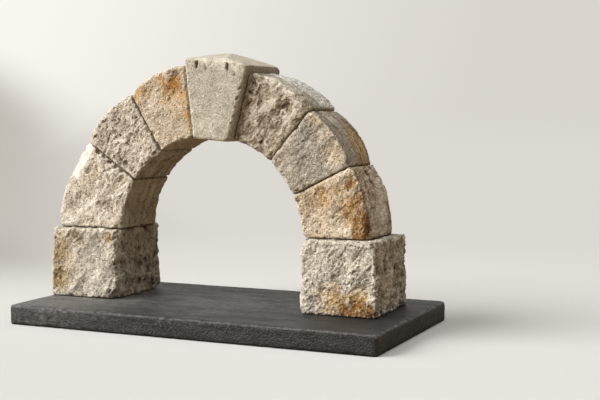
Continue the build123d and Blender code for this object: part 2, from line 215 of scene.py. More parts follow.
    for size, slope in cut["facets"]:  # small flat breaks, each leaning its own way, with sharp steps between
        cell = addNode(tree, "ShaderNodeTexVoronoi", {"Vector": laid, "Scale": 1 / size}).outputs
        lean = addNode(tree, "ShaderNodeVectorMath", (cell["Color"], middle), operation="SUBTRACT")
        arm = addNode(tree, "ShaderNodeVectorMath", (laid, cell["Position"]), operation="SUBTRACT")
        facet = addNode(tree, "ShaderNodeVectorMath", (lean, arm), operation="DOT_PRODUCT")
        facet = addNode(tree, "ShaderNodeMath", (facet, slope), operation="MULTIPLY")
        height = addNode(tree, "ShaderNodeMath", (facet, patch, height), operation="MULTIPLY_ADD")

    grainSize, grainHeight = cut["grain"]
    grain = {"Vector": laid, "Scale": 1 / grainSize, "Detail": 4.0, "Roughness": 0.7}
    grain = addNode(tree, "ShaderNodeTexNoise", grain)
    grain = addNode(tree, "ShaderNodeMath", (grain, -0.5), operation="ADD")
    grain = addNode(tree, "ShaderNodeMath", (grain, outward), operation="MULTIPLY")
    height = addNode(tree, "ShaderNodeMath", (grain, grainHeight * 2, height), operation="MULTIPLY_ADD")

    crackGap, crackWidth, crackDepth, crackShare = cut["cracks"]  # thin broken lines around blocks
    crack = {"Vector": drift, "Scale": 1 / crackGap}
    crack = addNode(tree, "ShaderNodeTexVoronoi", crack, feature="DISTANCE_TO_EDGE")
    crack = addNode(tree, "ShaderNodeMapRange", (crack, crackWidth / crackGap, 0.0), **softStep)
    openFrom, openFull, openBias = carving["crackOpen"]
    lower = openBias * crackShare
    opened = {"Vector": own, "Scale": 1 / carving["crackPatch"], "Detail": 1.0}
    opened = addNode(tree, "ShaderNodeTexNoise", opened)
    opened = addNode(tree, "ShaderNodeMapRange", (opened, openFrom - lower, openFull - lower), **softStep)
    crack = addNode(tree, "ShaderNodeMath", (crack, opened), operation="MULTIPLY")
    height = addNode(tree, "ShaderNodeMath", (crack, -crackDepth, height), operation="MULTIPLY_ADD")

    pitGap, pitRadius, pitDepth, pitShare = cut["pits"]
    pit = addNode(tree, "ShaderNodeTexVoronoi", {"Vector": drift, "Scale": 1 / pitGap})
    chosen = (pit.outputs["Color"], (1.0, 0.0, 0.0))
    chosen = addNode(tree, "ShaderNodeVectorMath", chosen, operation="DOT_PRODUCT")
    chosen = addNode(tree, "ShaderNodeMath", (chosen, pitShare), operation="LESS_THAN")
    hollow = addNode(tree, "ShaderNodeMapRange", (pit, pitRadius / pitGap, 0.0), **softStep)
    hollow = addNode(tree, "ShaderNodeMath", (hollow, chosen), operation="MULTIPLY")
    height = addNode(tree, "ShaderNodeMath", (hollow, -pitDepth, height), operation="MULTIPLY_ADD")

    # this tone is what the material paints dark in the hollows, as shade, and pale on the crests, as
    # highlight
    tone = addNode(tree, "ShaderNodeMath", (height, bare), operation="MULTIPLY")  # chips are fresh: left out
    chipSize, chipDepth, chipShare = cut["chips"]
    chip = addNode(tree, "ShaderNodeTexVoronoi", {"Vector": drift, "Scale": 1 / chipSize})
    chosen = (chip.outputs["Color"], (1.0, 0.0, 0.0))
    chosen = addNode(tree, "ShaderNodeVectorMath", chosen, operation="DOT_PRODUCT")
    broken = addNode(tree, "ShaderNodeMapRange", (chosen, 0.0, chipShare, 1.0, 0.0))
    scallop = addNode(tree, "ShaderNodeMapRange", (chip, *carving["chipReach"]), **softStep)
    scallop = addNode(tree, "ShaderNodeMath", (scallop, broken), operation="MULTIPLY")
    scallop = addNode(tree, "ShaderNodeMath", (scallop, arris), operation="MULTIPLY")
    height = addNode(tree, "ShaderNodeMath", (scallop, -chipDepth, height), operation="MULTIPLY_ADD")

    for centre, radii, depth in cut["dents"]:  # single notches and slits, each at its own place
        dent = addNode(tree, "ShaderNodeVectorMath", (ragged, centre), operation="SUBTRACT")
        dent = addNode(tree, "ShaderNodeVectorMath", (dent, radii), operation="DIVIDE")
        dent = addNode(tree, "ShaderNodeVectorMath", (dent,), operation="LENGTH")
        dent = addNode(tree, "ShaderNodeMapRange", (dent, *carving["dentEdge"]), **softStep)
        height = addNode(tree, "ShaderNodeMath", (dent, -depth, height), operation="MULTIPLY_ADD")
        # a notch is also painted darker, as painted shade inside it
        tone = addNode(tree, "ShaderNodeMath", (dent, -depth, tone), operation="MULTIPLY_ADD")

    most = addNode(tree, "ShaderNodeMath", (bare, cut["proud"]), operation="MULTIPLY")
    height = addNode(tree, "ShaderNodeMath", (height, most), operation="MINIMUM")
    least = carving["seatShare"]
    share = addNode(tree, "ShaderNodeMath", (bare, 1 - least, least), operation="MULTIPLY_ADD")
    height = addNode(tree, "ShaderNodeMath", (height, share), operation="MULTIPLY")
    height = addNode(tree, "ShaderNodeMath", (height, back), operation="SUBTRACT")
    shift = addNode(tree, "ShaderNodeMath", (height, mm), operation="MULTIPLY")
    shift = addNode(tree, "ShaderNodeVectorMath", {0: normal, "Scale": shift}, operation="SCALE")
    kept = blank
    for label, value in (("relief", tone), ("arris", arris), ("jointDirtAndShade", jointDirtAndShade)):  # read by the material
        stored = {"Geometry": kept, "Name": label, "Value": value}
        kept = addNode(tree, "GeometryNodeStoreNamedAttribute", stored)
    moved = addNode(tree, "GeometryNodeSetPosition", {"Geometry": kept, "Offset": shift})
    addNode(tree, "NodeGroupOutput", (moved,))
    return tree


stainEdge = (16.0, 5.0)  # size and reach of the wandering that makes a stain's edge ragged


def paintDabs(piece, dabs):  # listed stains, one channel each: ochre, rust, pale, grey
    stain = piece.data.attributes.new("stain", "FLOAT_COLOR", "POINT")
    edgeSize, edgeReach = stainEdge
    weights = []
    for vertex in piece.data.vertices:
        spot = vertex.co / mm
        spot += noise.turbulence_vector(spot / edgeSize, 3, False) * edgeReach
        for places in dabs:
            weight = 0.0
            for x, y, z, radius, strength in places:
                near = (spot - Vector((x, y, z))).length_squared / radius ** 2
                weight = max(weight, strength * (1.0 - near))
            weights.append(weight)
    stain.data.foreach_set("color", weights)


pigment = {  # how the colours of a stone are laid, pattern sizes in millimetres
    "cloud": 20.0,  # broad change of tone
    "blotch": 6.0,  # mottling
    "speck": 1.7,  # mineral grains, drawn as coarse as they need to be to show
    "poreBreak": -0.9,  # how much the blotches gather the pores
    "endFacing": (0.9, 0.5),  # the layers of the stone only show on its ends
    "levelFacing": (0.6, 0.95),
    "stainBreak": 1.8,  # how much the blotches break up a stain
    "stainRange": (0.10, 0.95),
    "stainGain": 1.3,
    "chipBreak": (2.2, -1.3),  # how much the blotches break up the worn edges
    "fresh": (0.2, 0.7, 1.0, 0.35),  # fresh pale stone has fewer marks
    "dirtAndShadeRange": (0.2, 0.9),
    "poreSink": (-0.40, -0.10, -0.5, 0.0),
    "blotchBump": 0.6,
    "glintRange": (0.35, 0.65),
}


# split stone: dry, matt, grainy, dark in the pits, layered, with iron stains in patches, painted shade in the
# hollows and joints and painted highlight on the crests
def stoneMaterial(name, look):
    material = bpy.data.materials.new(name)
    material.use_nodes = True
    tree = material.node_tree
    tree.nodes.clear()
    place = addNode(tree, "ShaderNodeTexCoord").outputs["Object"]
    place = addNode(tree, "ShaderNodeVectorMath", {0: place, "Scale": 1 / mm}, operation="SCALE")
    place = addNode(tree, "ShaderNodeVectorMath", (place, look["seed"]), operation="ADD")
    relief = addNode(tree, "ShaderNodeAttribute", attribute_name="relief").outputs["Fac"]
    arris = addNode(tree, "ShaderNodeAttribute", attribute_name="arris").outputs["Fac"]
    jointDirtAndShade = addNode(tree, "ShaderNodeAttribute", attribute_name="jointDirtAndShade").outputs["Fac"]
    stain = addNode(tree, "ShaderNodeAttribute", attribute_name="stain").outputs
    stains = addNode(tree, "ShaderNodeSeparateColor", (stain["Color"],)).outputs

    normal = addNode(tree, "ShaderNodeNewGeometry").outputs["Normal"]
    endOn = addNode(tree, "ShaderNodeVectorMath", (normal, look["bedFacing"]), operation="DOT_PRODUCT")
    endOn = addNode(tree, "ShaderNodeMath", (endOn,), operation="ABSOLUTE")
    endOn = addNode(tree, "ShaderNodeMapRange", (endOn, *pigment["endFacing"]))
    level = addNode(tree, "ShaderNodeVectorMath", (normal, (0.0, 0.0, 1.0)), operation="DOT_PRODUCT")
    level = addNode(tree, "ShaderNodeMapRange", (level, *pigment["levelFacing"], 1.0, look["levelShare"]))

    beds = [1 / size for size in look["beds"]]
    beds = addNode(tree, "ShaderNodeVectorMath", (place, beds), operation="MULTIPLY")
    streak = {"Vector": beds, "Scale": 1.0, "Detail": 4.0, "Roughness": 0.6}
    streak = addNode(tree, "ShaderNodeTexNoise", streak)
    beds = addNode(tree, "ShaderNodeMath", (streak, endOn), operation="MULTIPLY")
    cloud = {"Vector": place, "Scale": 1 / pigment["cloud"], "Detail": 4.0, "Roughness": 0.6}
    cloud = addNode(tree, "ShaderNodeTexNoise", cloud)
    blotch = {"Vector": place, "Scale": 1 / pigment["blotch"], "Detail": 5.0, "Roughness": 0.7}
    blotch = addNode(tree, "ShaderNodeTexNoise", blotch)
    speck = {"Vector": place, "Scale": 1 / pigment["speck"], "Detail": 2.0, "Roughness": 0.7}
    speck = addNode(tree, "ShaderNodeTexNoise", speck)
    pore = addNode(tree, "ShaderNodeTexVoronoi", {"Vector": place, "Scale": 1 / look["pores"]})
    pore = addNode(tree, "ShaderNodeMath", (blotch, pigment["poreBreak"], pore), operation="MULTIPLY_ADD")

    layers = (  # which pattern, where it starts and is full, how much, and the tone it brings
        (cloud, 0.40, 0.60, 1.0, look["second"]),
        (blotch, 0.52, 0.70, look["fleck"], look["pale"]),
    )
    colour = hexColour(look["body"])
    for pattern, start, full, most, tint in layers:
        amount = addNode(tree, "ShaderNodeMapRange", (pattern, start, full, 0.0, most), **softStep)
        colour = addNode(tree, "ShaderNodeMix", {0: amount, 6: colour, 7: hexColour(tint)}, data_type="RGBA")

    patches = (
        (stains["Red"], look["ochre"]),
        (stains["Green"], look["rust"]),
        (stains["Blue"], look["pale"]),
        (stain["Alpha"], look["grey"]),
    )
    breakUp = pigment["stainBreak"]
    gain = pigment["stainGain"]
    for weight, tint in patches:
        ragged = addNode(tree, "ShaderNodeMath", (blotch, -0.5), operation="ADD")
        ragged = addNode(tree, "ShaderNodeMath", (ragged, breakUp, weight), operation="MULTIPLY_ADD")
        ragged = addNode(tree, "ShaderNodeMapRange", (ragged, *pigment["stainRange"]), **softStep)
        ragged = addNode(tree, "ShaderNodeMath", (ragged, weight), operation="MULTIPLY")
        ragged = addNode(tree, "ShaderNodeMath", (ragged, gain), operation="MULTIPLY", use_clamp=True)
        colour = addNode(tree, "ShaderNodeMix", {0: ragged, 6: colour, 7: hexColour(tint)}, data_type="RGBA")

    chipped = addNode(tree, "ShaderNodeMath", (blotch, *pigment["chipBreak"]), operation="MULTIPLY_ADD")
    chipped = addNode(tree, "ShaderNodeMath", (arris, chipped), operation="ADD")
    clean = addNode(tree, "ShaderNodeMapRange", (stains["Blue"], *pigment["fresh"]))
    marks = (  # layers, dark grains, bright grains, mottling, dust and painted shade in the hollows, painted highlight on the crests, open pores, worn edges
        (beds, 0.46, 0.60, look["bedShare"], look["bed"]),
        (speck, 0.48, 0.30, look["speckle"], look["gritAndShade"]),
        (speck, 0.54, 0.72, look["speckle"], look["pale"]),
        (blotch, 0.46, 0.32, look["mottle"], look["gritAndShade"]),
        (relief, -0.15, -1.5, look["hollow"], look["gritAndShade"]),
        (relief, 0.1, 0.9, look["crest"], look["pale"]),
        (pore, -0.20, -0.36, look["speckle"], look["gritAndShade"]),
        (chipped, 0.35, 1.0, look["worn"], look["pale"]),
    )
    for pattern, start, full, most, tint in marks:
        amount = addNode(tree, "ShaderNodeMapRange", (pattern, start, full, 0.0, most))
        amount = addNode(tree, "ShaderNodeMath", (amount, clean), operation="MULTIPLY")
        colour = addNode(tree, "ShaderNodeMix", {0: amount, 6: colour, 7: hexColour(tint)}, data_type="RGBA")
    # dirt and painted shade darken the joints and the lips beside them
    dirtAndShade = addNode(tree, "ShaderNodeMapRange", (jointDirtAndShade, *pigment["dirtAndShadeRange"], 0.0, look["dustAndShade"]))
    dirtAndShade = {0: dirtAndShade, 6: colour, 7: hexColour(look["dirtAndShade"])}
    colour = addNode(tree, "ShaderNodeMix", dirtAndShade, data_type="RGBA")

    sunk = addNode(tree, "ShaderNodeMapRange", (pore, *pigment["poreSink"]))
    bumps = addNode(tree, "ShaderNodeMath", (blotch, pigment["blotchBump"], speck), operation="MULTIPLY_ADD")
    bumps = addNode(tree, "ShaderNodeMath", (bumps, sunk), operation="ADD")
    hackleSize, hackleSlope = look["hackle"]
    cell = addNode(tree, "ShaderNodeTexVoronoi", {"Vector": place, "Scale": 1 / hackleSize}).outputs
    lean = addNode(tree, "ShaderNodeVectorMath", (cell["Color"], middle), operation="SUBTRACT")
    arm = addNode(tree, "ShaderNodeVectorMath", (place, cell["Position"]), operation="SUBTRACT")
    facet = addNode(tree, "ShaderNodeVectorMath", (lean, arm), operation="DOT_PRODUCT")
    bumps = addNode(tree, "ShaderNodeMath", (facet, hackleSlope, bumps), operation="MULTIPLY_ADD")
    bumps = addNode(tree, "ShaderNodeMath", (bumps, level), operation="MULTIPLY")
    bump = {"Strength": look["bump"], "Distance": look["bumpDepth"] * mm, "Height": bumps}
    bump = addNode(tree, "ShaderNodeBump", bump)
    polish = look["roughness"]
    if look["glint"]:  # some layers are a little shinier
        shinier = (*pigment["glintRange"], polish - look["glint"], polish)
        polish = addNode(tree, "ShaderNodeMapRange", (streak, *shinier))
    shader = {"Base Color": colour, "Normal": bump, "Roughness": polish}
    shader = addNode(tree, "ShaderNodeBsdfPrincipled", shader)
    shader.inputs["Specular IOR Level"].default_value = look["sheen"]
    addNode(tree, "ShaderNodeOutputMaterial", (shader,))
    return material


def finishPiece(piece, nodeName, material):
    piece.data.materials.append(material)
    makeActive(piece)
    bpy.ops.object.shade_smooth()
    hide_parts(nodeName)
    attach(piece, "root")
    print("piece", piece.name, "triangles", sum(len(p.vertices) - 2 for p in piece.data.polygons))


def makeStone(nodeName, look, seats):
    piece = roughBlank(nodeName, nodeName + "_stone", look["voxel"])
    applyModifier(piece, "relief", "NODES", node_group=reliefTree(nodeName + "Relief", look, seats))
    paintDabs(piece, look["dabs"])
    finishPiece(piece, nodeName, stoneMaterial(look["material"], look))


limestone = {  # rough-split limestone, what the stones share, in millimetres or in shares of 1
    "voxel": 0.9,  # step of the mesh
    "wander": 6.0,  # how far the outlines of chips and cracks stray
    "swell": (28.0, 0.4),  # size and height of the broad unevenness
    "flakes": ((12.0, 1.1), (4.6, 0.3)),  # size and depth of the scooped hollows
    "facets": ((7.0, 0.3), (3.2, 0.35)),  # size and slope of the flat breaks
    "calm": 0.4,  # how rough the calm patches are
    "calms": (),  # where, how wide and how rough the places that split cleanly are
    "rind": 0.7,  # how rough the faces are that look into or out of the arch
    "margin": 7.0,  # width of the smoother margin along a joint
    "smooth": 0.4,  # how rough that margin is
    "ease": 24,  # rounds of smoothing that tell an edge from a face
    "strokes": (53.0, 1.4),  # angle of the chisel's strokes, and how much longer the flakes are that way
    "grain": (5.0, 0.9),  # size and height
    "cracks": (26.0, 0.8, 0.7, 0.05),  # spacing, width, depth and share
    "pits": (5.5, 1.4, 1.4, 0.35),  # spacing, radius, depth and share
    "chips": (7.0, 3.0, 0.8),  # size, depth and share of the chips along the edges
    "dents": (),  # where, how large and how deep each single notch is
    "proud": 1.2,  # how far the relief may stand out of the solid
    "pores": 3.2,  # spacing
    "beds": (36.0, 8.0, 36.0),  # length, thickness and breadth of the stone's layers
    "bedFacing": (0.0, 1.0, 0.0),
    "bedShare": 0.4,
    "speckle": 0.65,
    "hollow": 0.8,  # darkening of the hollows, dust and painted shade
    "crest": 0.5,  # paling of the crests, a painted highlight
    "worn": 0.45,  # paling of the edges
    "dustAndShade": 0.35,  # dirt and painted shade in the joints
    "mottle": 0.4,
    "fleck": 0.7,
    "hackle": (2.2, 0.5),  # size and slope of the finest breaks, too small for the mesh
    "levelShare": 1.0,
    "glint": 0.0,
    "bump": 0.9,
    "bumpDepth": 1.2,
    "roughness": 0.92,
    "sheen": 0.2,
    "body": "#c9bda9",
    "second": "#b4a998",
    "bed": "#a39785",
    "pale": "#e9dfcc",
    "ochre": "#bd985f",
    "rust": "#a9783e",
    "grey": "#a19a90",
    "gritAndShade": "#54432e",
    "dirtAndShade": "#4f3d28",
    "dabs": ((), (), (), ()),  # ochre, rust, pale and grey stains: x, y, z, radius and strength
}

leftPier = {
    **limestone,
    "material": "splitLimestoneLeftPier",
    "seed": (0.0, 0.0, 0.0),
    "body": "#d2c7b6",
    "second": "#bfb5a6",
    "ochre": "#c1a87b",
    "rust": "#a8834f",
    "cracks": (26.0, 0.8, 0.9, 0.2),
    "mottle": 0.75,
    "rind": 1.9,
    "smooth": 1.0,
    "calm": 0.35,
    "calms": (((-146.0, -32.0, 48.0), 26.0, 0.5),),
    # dirt and a painted contact shadow along the foot and the joints
    "dustAndShade": 0.6,
    "dabs": (
        (
            (-188, -32, 72, 24, 0.8),
            (-188, -33, 42, 26, 0.8),
            (-196, -10, 60, 30, 0.7),
            (-176, -32, 54, 18, 0.7),
            (-170, -32, 84, 16, 0.6),
        ),
        (
            (-126, -31, 82, 10, 0.8),
            (-190, -33, 34, 13, 0.7),
            (-186, -32, 60, 12, 0.6),
            (-178, -32, 44, 9, 0.6),
        ),
        ((-146, -32, 48, 28, 0.7), (-150, -32, 88, 12, 0.6)),
        ((-160, -32, 66, 12, 0.4),),
    ),
}
leftFoot = ((-157.0, 14.5, 93.0), (40.0, 36.0, 1000.0))
makeStone("left_pier_block", leftPier, (bedSeat(bedHeights[0]), bedSeat(bedHeights[1], 0.1, leftFoot)))

leftLower = {
    **limestone,
    "material": "splitLimestoneLeftLower",
    "rind": 0.9,
    "seed": (110.0, 20.0, 0.0),
    "dents": (
        ((-145.4, -22.0, 173.9), (4.2, 6.0, 3.2), 2.6),
        ((-138.4, -22.0, 169.4), (3.2, 6.0, 3.6), 2.2),
        ((-130.9, -22.0, 164.4), (4.6, 6.0, 3.0), 2.6),
        ((-123.4, -22.0, 159.4), (3.2, 6.0, 3.8), 2.2),
        ((-116.4, -22.0, 154.4), (3.6, 6.0, 2.8), 2.4),
    ),
    "body": "#ddd0bb",
    "second": "#cfc1ad",
    "pale": "#f3ecde",
    "dustAndShade": 0.55,
    "grain": (3.6, 0.75),
    "calms": (
        ((-172.0, -19.0, 152.0), 12.0, 0.2),
        ((-164.0, -19.0, 166.0), 12.0, 0.2),
        ((-156.0, -19.0, 178.0), 11.0, 0.2),
    ),
    "dabs": (
        ((-150, -20, 150, 22, 0.5),),
        (),
        # pale stains on the bevel at the upper left, a painted highlight where the light falls on it
        ((-166, -19, 167, 14, 1.0), (-173, -19, 153, 12, 1.0), (-158, -19, 178, 11, 1.0)),
        ((-135, -20, 120, 18, 0.4),),
    ),
}
makeStone("left_voussoir_lower", leftLower, (bedSeat(bedHeights[1]), jointSeat(33.6, 0.3)))

leftMiddle = {
    **limestone,
    "material": "splitLimestoneLeftMiddle",
    "rind": 0.8,
    "seed": (0.0, 140.0, 30.0),
    "facets": ((6.5, 0.45), (3.2, 0.45)),
    "pits": (5.0, 1.6, 1.7, 0.55),
    "dustAndShade": 0.45,
    "body": "#dacebc",
    "second": "#c2b6a5",
    "bed": "#85765f",
    "bedShare": 0.7,
}
makeStone("left_voussoir_middle", leftMiddle, (jointSeat(33.6, 0.3), jointSeat(57.6)))

leftUpper = {
    **limestone,
    "material": "splitLimestoneLeftUpper",
    "seed": (50.0, 0.0, 230.0),
    "flakes": ((12.0, 0.8), (4.6, 0.2)),
    "facets": ((7.0, 0.25), (3.2, 0.3)),
    "calms": (((-52.0, -20.0, 206.0), 30.0, 0.3), ((-86.0, -20.0, 216.0), 24.0, 0.4)),
    "speckle": 0.45,
    "mottle": 0.3,
    "hollow": 0.6,
    # dirt and painted shade along the joints, stronger beside the keystone
    "dustAndShade": 0.6,
    "body": "#cbbaa1",
    "second": "#c5b197",
    "ochre": "#c9a066",
    "rust": "#b98545",
    "grey": "#8a7560",
    "dabs": (
        (
            (-95, -19, 234, 20, 0.8),
            (-40, -20, 232, 15, 0.9),
            (-36, -20, 214, 13, 0.9),
            (-34, -20, 200, 10, 0.7),
            (-57, -20, 236, 24, 0.7),
        ),
        # the smallest rust dab, beside the keystone, darkens the margin along that joint
        ((-54, -20, 246, 16, 1.0), (-68, -20, 246, 11, 0.8), (-36, -20, 216, 6, 0.4)),
        ((-45, -20, 206, 16, 0.4),),
        ((-56, -20, 259, 11, 0.9), (-50, 10, 258, 30, 0.5)),
    ),
}
# the wide reach beside the keystone paints the keystone's shadow on this stone, along with the joint's dirt
makeStone("left_voussoir_upper", leftUpper, (jointSeat(57.6), jointSeat(83.0, reach=8.5)))

keystone = {  # dressed limestone: finely tooled, even and pale, so that it stands out from the split stones
    **limestone,
    "material": "dressedLimestoneKeystone",
    "seed": (70.0, 310.0, 0.0),
    "swell": (30.0, 0.25),
    "flakes": ((9.0, 0.08),),
    "facets": ((3.0, 0.08),),
    "hackle": (1.8, 0.3),
    "bump": 0.65,
    "grain": (4.0, 0.22),
    "cracks": (21.0, 0.5, 0.3, 0.1),
    "pits": (7.0, 1.2, 0.6, 0.25),
    "chips": (6.0, 1.4, 0.5),
    "dents": (
        ((-8.0, -31.0, 269.0), (9.0, 4.0, 3.0), 0.8),
        ((24.0, -31.0, 264.0), (6.0, 5.0, 6.0), 1.4),
        ((-29.0, -30.0, 255.0), (1.4, 3.0, 1.4), 1.0),
        ((-20.0, -30.0, 255.5), (1.3, 3.0, 1.3), 0.9),
        ((-3.0, -30.0, 256.5), (1.5, 3.0, 1.3), 0.9),
        ((21.0, -30.0, 252.0), (1.6, 3.0, 1.5), 1.0),
        ((-21.0, -30.0, 263.0), (1.8, 4.0, 5.0), 3.0),
        ((-11.0, -30.0, 260.0), (3.0, 4.0, 5.0), 1.2),
        ((14.0, -30.0, 261.0), (2.0, 4.0, 6.0), 3.0),
        ((17.5, -31.0, 196.0), (3.0, 4.0, 3.0), 2.0),
        ((19.0, -31.0, 204.0), (3.0, 4.0, 2.6), 1.8),
        ((21.5, -31.0, 212.0), (3.0, 4.0, 3.0), 2.2),
        ((23.5, -31.0, 221.0), (3.0, 4.0, 2.6), 1.6),
        ((25.8, -31.0, 229.0), (3.2, 4.0, 3.2), 2.2),
        ((28.4, -31.0, 239.0), (3.0, 4.0, 2.6), 1.8),
    ),
    "proud": 0.0,
    "bedShare": 0.15,
    "dustAndShade": 0.05,
    "speckle": 0.6,
    "pores": 2.4,
    "body": "#c8bfaf",
    "second": "#b9b0a0",
    "dabs": (
        (),
        (),
        (
            (-30, -31, 262, 10, 0.7),
            (-12, -31, 264, 11, 0.7),
            (8, -31, 263, 11, 0.7),
            (22, -31, 260, 10, 0.7),
            (-8, -30, 203, 20, 0.5),
        ),
        ((-5, -30, 228, 20, 0.4),),
    ),
}
makeStone("keystone", keystone, (jointSeat(83.0), jointSeat(105.5)))

rightUpper = {
    **limestone,
    "material": "splitLimestoneRightUpper",
    "seed": (400.0, 0.0, 0.0),
    "flakes": ((11.0, 1.3), (4.8, 0.3)),
    "facets": ((6.5, 0.5), (3.4, 0.45)),
    "grain": (4.0, 1.1),
    "rind": 0.5,
    "body": "#b6a894",
    "second": "#a3957f",
    "bed": "#8d8a85",
    "bedShare": 0.5,
    # near-white grey: pale grey stone, lightened further as painted light from above
    "grey": "#f3efe7",
    "ochre": "#83745d",
    "dabs": (
        ((56, -20, 214, 22, 0.55),),
        (),
        (
            (77, -14, 238, 14, 0.9),
            (60, -18, 246, 14, 0.9),
            (42, -20, 195, 10, 0.8),
            (88, -16, 228, 10, 0.7),
        ),
        # on the outer curve: pale grey stone, lightened further as painted light from above
        ((75, 40, 250, 58, 1.3),),
    ),
}
makeStone("right_voussoir_upper", rightUpper, (jointSeat(105.5), jointSeat(130.3)))

rightMiddle = {
    **limestone,
    "material": "splitLimestoneRightMiddle",
    "seed": (0.0, 0.0, 510.0),
    "flakes": ((10.0, 0.5), (4.6, 0.2)),
    "facets": ((7.0, 0.15), (3.2, 0.25)),
    "strokes": (53.0, 2.2),
    "grain": (4.0, 1.0),
    "body": "#b7ab99",
    "second": "#a49a8d",
    "bed": "#75674f",
    "bedShare": 0.9,
    "ochre": "#dbbb88",
    "dabs": (
        (
            (104, -19, 208, 10, 0.7),
            (126, -20, 178, 18, 0.6),
            (118, -20, 194, 12, 0.5),
            (140, 36, 186, 40, 1.2),
        ),
        ((104, -20, 210, 6, 0.6), (147, 16, 174, 16, 0.8), (132, 44, 202, 14, 0.7)),
        ((114, 6, 214, 22, 0.7), (152, 40, 168, 14, 0.7)),
        ((92, -20, 180, 24, 0.5), (118, -6, 208, 18, 0.7)),
    ),
}
makeStone("right_voussoir_middle", rightMiddle, (jointSeat(130.3), jointSeat(153.6, 0.35)))

rightLower = {
    **limestone,
    "material": "splitLimestoneRightLower",
    "seed": (0.0, 620.0, 0.0),
    "flakes": ((10.0, 0.6), (4.6, 0.2)),
    "facets": ((7.0, 0.2), (3.2, 0.3)),
    "strokes": (53.0, 2.2),
    "grain": (4.0, 1.1),
    "chips": (7.0, 2.0, 0.7),
    "body": "#decab0",
    "second": "#d1bb9d",
    "bed": "#6d5339",
    "bedShare": 0.8,
    "worn": 0.1,
    "rind": 1.8,
    "ochre": "#c89f68",
    "rust": "#966c36",
    "grey": "#bdb5a8",
    "pale": "#f2e9d8",
    "dabs": (
        ((111, -20, 134, 18, 0.8), (128, -20, 140, 18, 0.6), (140, -20, 122, 20, 0.8)),
        (
            (148, -20, 132, 15, 1.0),
            (152, -20, 115, 15, 1.0),
            (144, -19, 148, 12, 1.0),
            (151, -17, 102, 15, 1.3),
            (152, 20, 140, 16, 0.8),
            (164, 8, 122, 11, 0.8),
            (160, 38, 128, 12, 0.8),
        ),
        # the two large pale stains on the outer face also paint the light that falls there from above
        ((126, -20, 104, 14, 0.5), (160, 16, 112, 36, 1.0), (155, 34, 142, 30, 0.8)),
        ((158, 2, 128, 18, 0.6), (160, 14, 106, 22, 0.4)),
    ),
}
makeStone("right_voussoir_lower", rightLower, (jointSeat(153.6, 0.35), bedSeat(bedHeights[1])))

rightPier = {
    **limestone,
    "material": "splitLimestoneRightPier",
    "seed": (730.0, 0.0, 90.0),
    "flakes": ((13.0, 1.0), (4.2, 0.12)),
    "facets": ((6.0, 0.35), (3.2, 0.45)),
    "strokes": (53.0, 1.8),
    "grain": (3.4, 1.0),
    "hackle": (2.2, 0.7),
    "calm": 0.7,
    "rind": 1.5,
    "smooth": 1.0,
    "worn": 0.25,
    # dirt and a painted contact shadow along the foot and the joints
    "dustAndShade": 0.7,
    "mottle": 0.65,
    "rust": "#94672f",
    "body": "#d1c6b5",
    "second": "#beb4a5",
    "dabs": (
        ((126, -32, 38, 24, 0.8), (118, -32, 48, 14, 0.6), (152, -33, 32, 22, 1.2)),
        ((155, -33, 27, 15, 1.4), (143, -33, 25, 12, 1.2), (166, -33, 26, 12, 1.4)),
        ((115, -32, 76, 18, 0.4), (99, -32, 58, 18, 0.7)),
        ((158, -32, 52, 15, 0.5),),
    ),
}
rightFoot = ((125.5, 14.5, 93.0), (34.5, 36.0, 1000.0))
makeStone("right_pier_block", rightPier, (bedSeat(bedHeights[0]), bedSeat(bedHeights[1], 0.1, rightFoot)))
print("stones done")

slate = {  # riven slate: charcoal, finely streaked along its length, paler where its edge is chipped; a painted sheen lightens the top at the left, painted shade darkens the right end and the front, and a painted contact shadow runs along its foot
    **limestone,
    "material": "rivenSlate",
    "seed": (0.0, 0.0, 0.0),
    "voxel": 1.7,
    "wander": 5.0,
    "swell": (60.0, 0.10),
    "flakes": ((14.0, 0.06),),
    "facets": (),
    "strokes": (0.0, 6.0),
    "grain": (7.0, 0.15),
    "cracks": (60.0, 0.5, 0.1, 0.0),
    "pits": (16.0, 1.5, 0.2, 0.2),
    "chips": (6.0, 1.8, 0.6),
    "rind": 1.0,
    "smooth": 1.0,
    "ease": 5,
    "pores": 2.0,
    "proud": -0.01,
    "beds": (45.0, 16.0, 5.0),
    "bedShare": 0.7,
    "speckle": 0.35,
    "hollow": 0.0,
    "crest": 0.0,
    "worn": 0.7,
    # dust and dirt here paint a contact shadow along the slate's foot
    "dustAndShade": 0.9,
    "mottle": 0.2,
    "fleck": 0.2,
    "hackle": (1.8, 0.25),
    "bedFacing": (1.0, 0.0, 0.0),
    "levelShare": 0.7,
    "glint": 0.1,
    "roughness": 0.58,
    "sheen": 0.3,
    "body": "#252423",
    "second": "#2e2d2b",
    "bed": "#151413",
    "pale": "#6f6c69",
    # grey here is a near-black tint for painted shade
    "grey": "#161514",
    "gritAndShade": "#1b1a19",
    # near-black: a painted contact shadow along the foot
    "dirtAndShade": "#0b0b0b",
    "dabs": (
        (),
        (),
        # pale dabs: a painted sheen, lighter on the top at the left
        ((-160, -20, 90, 170, 0.95), (-20, 0, 90, 150, 0.65)),
        # grey dabs: painted shade on the right end and along the front
        ((198, -20, 8, 110, 1.0), (60, -95, 10, 60, 0.3)),
    ),
}
makeStone("slate_base", slate, (bedSeat(0.0, 0.01),))
print("slate done")

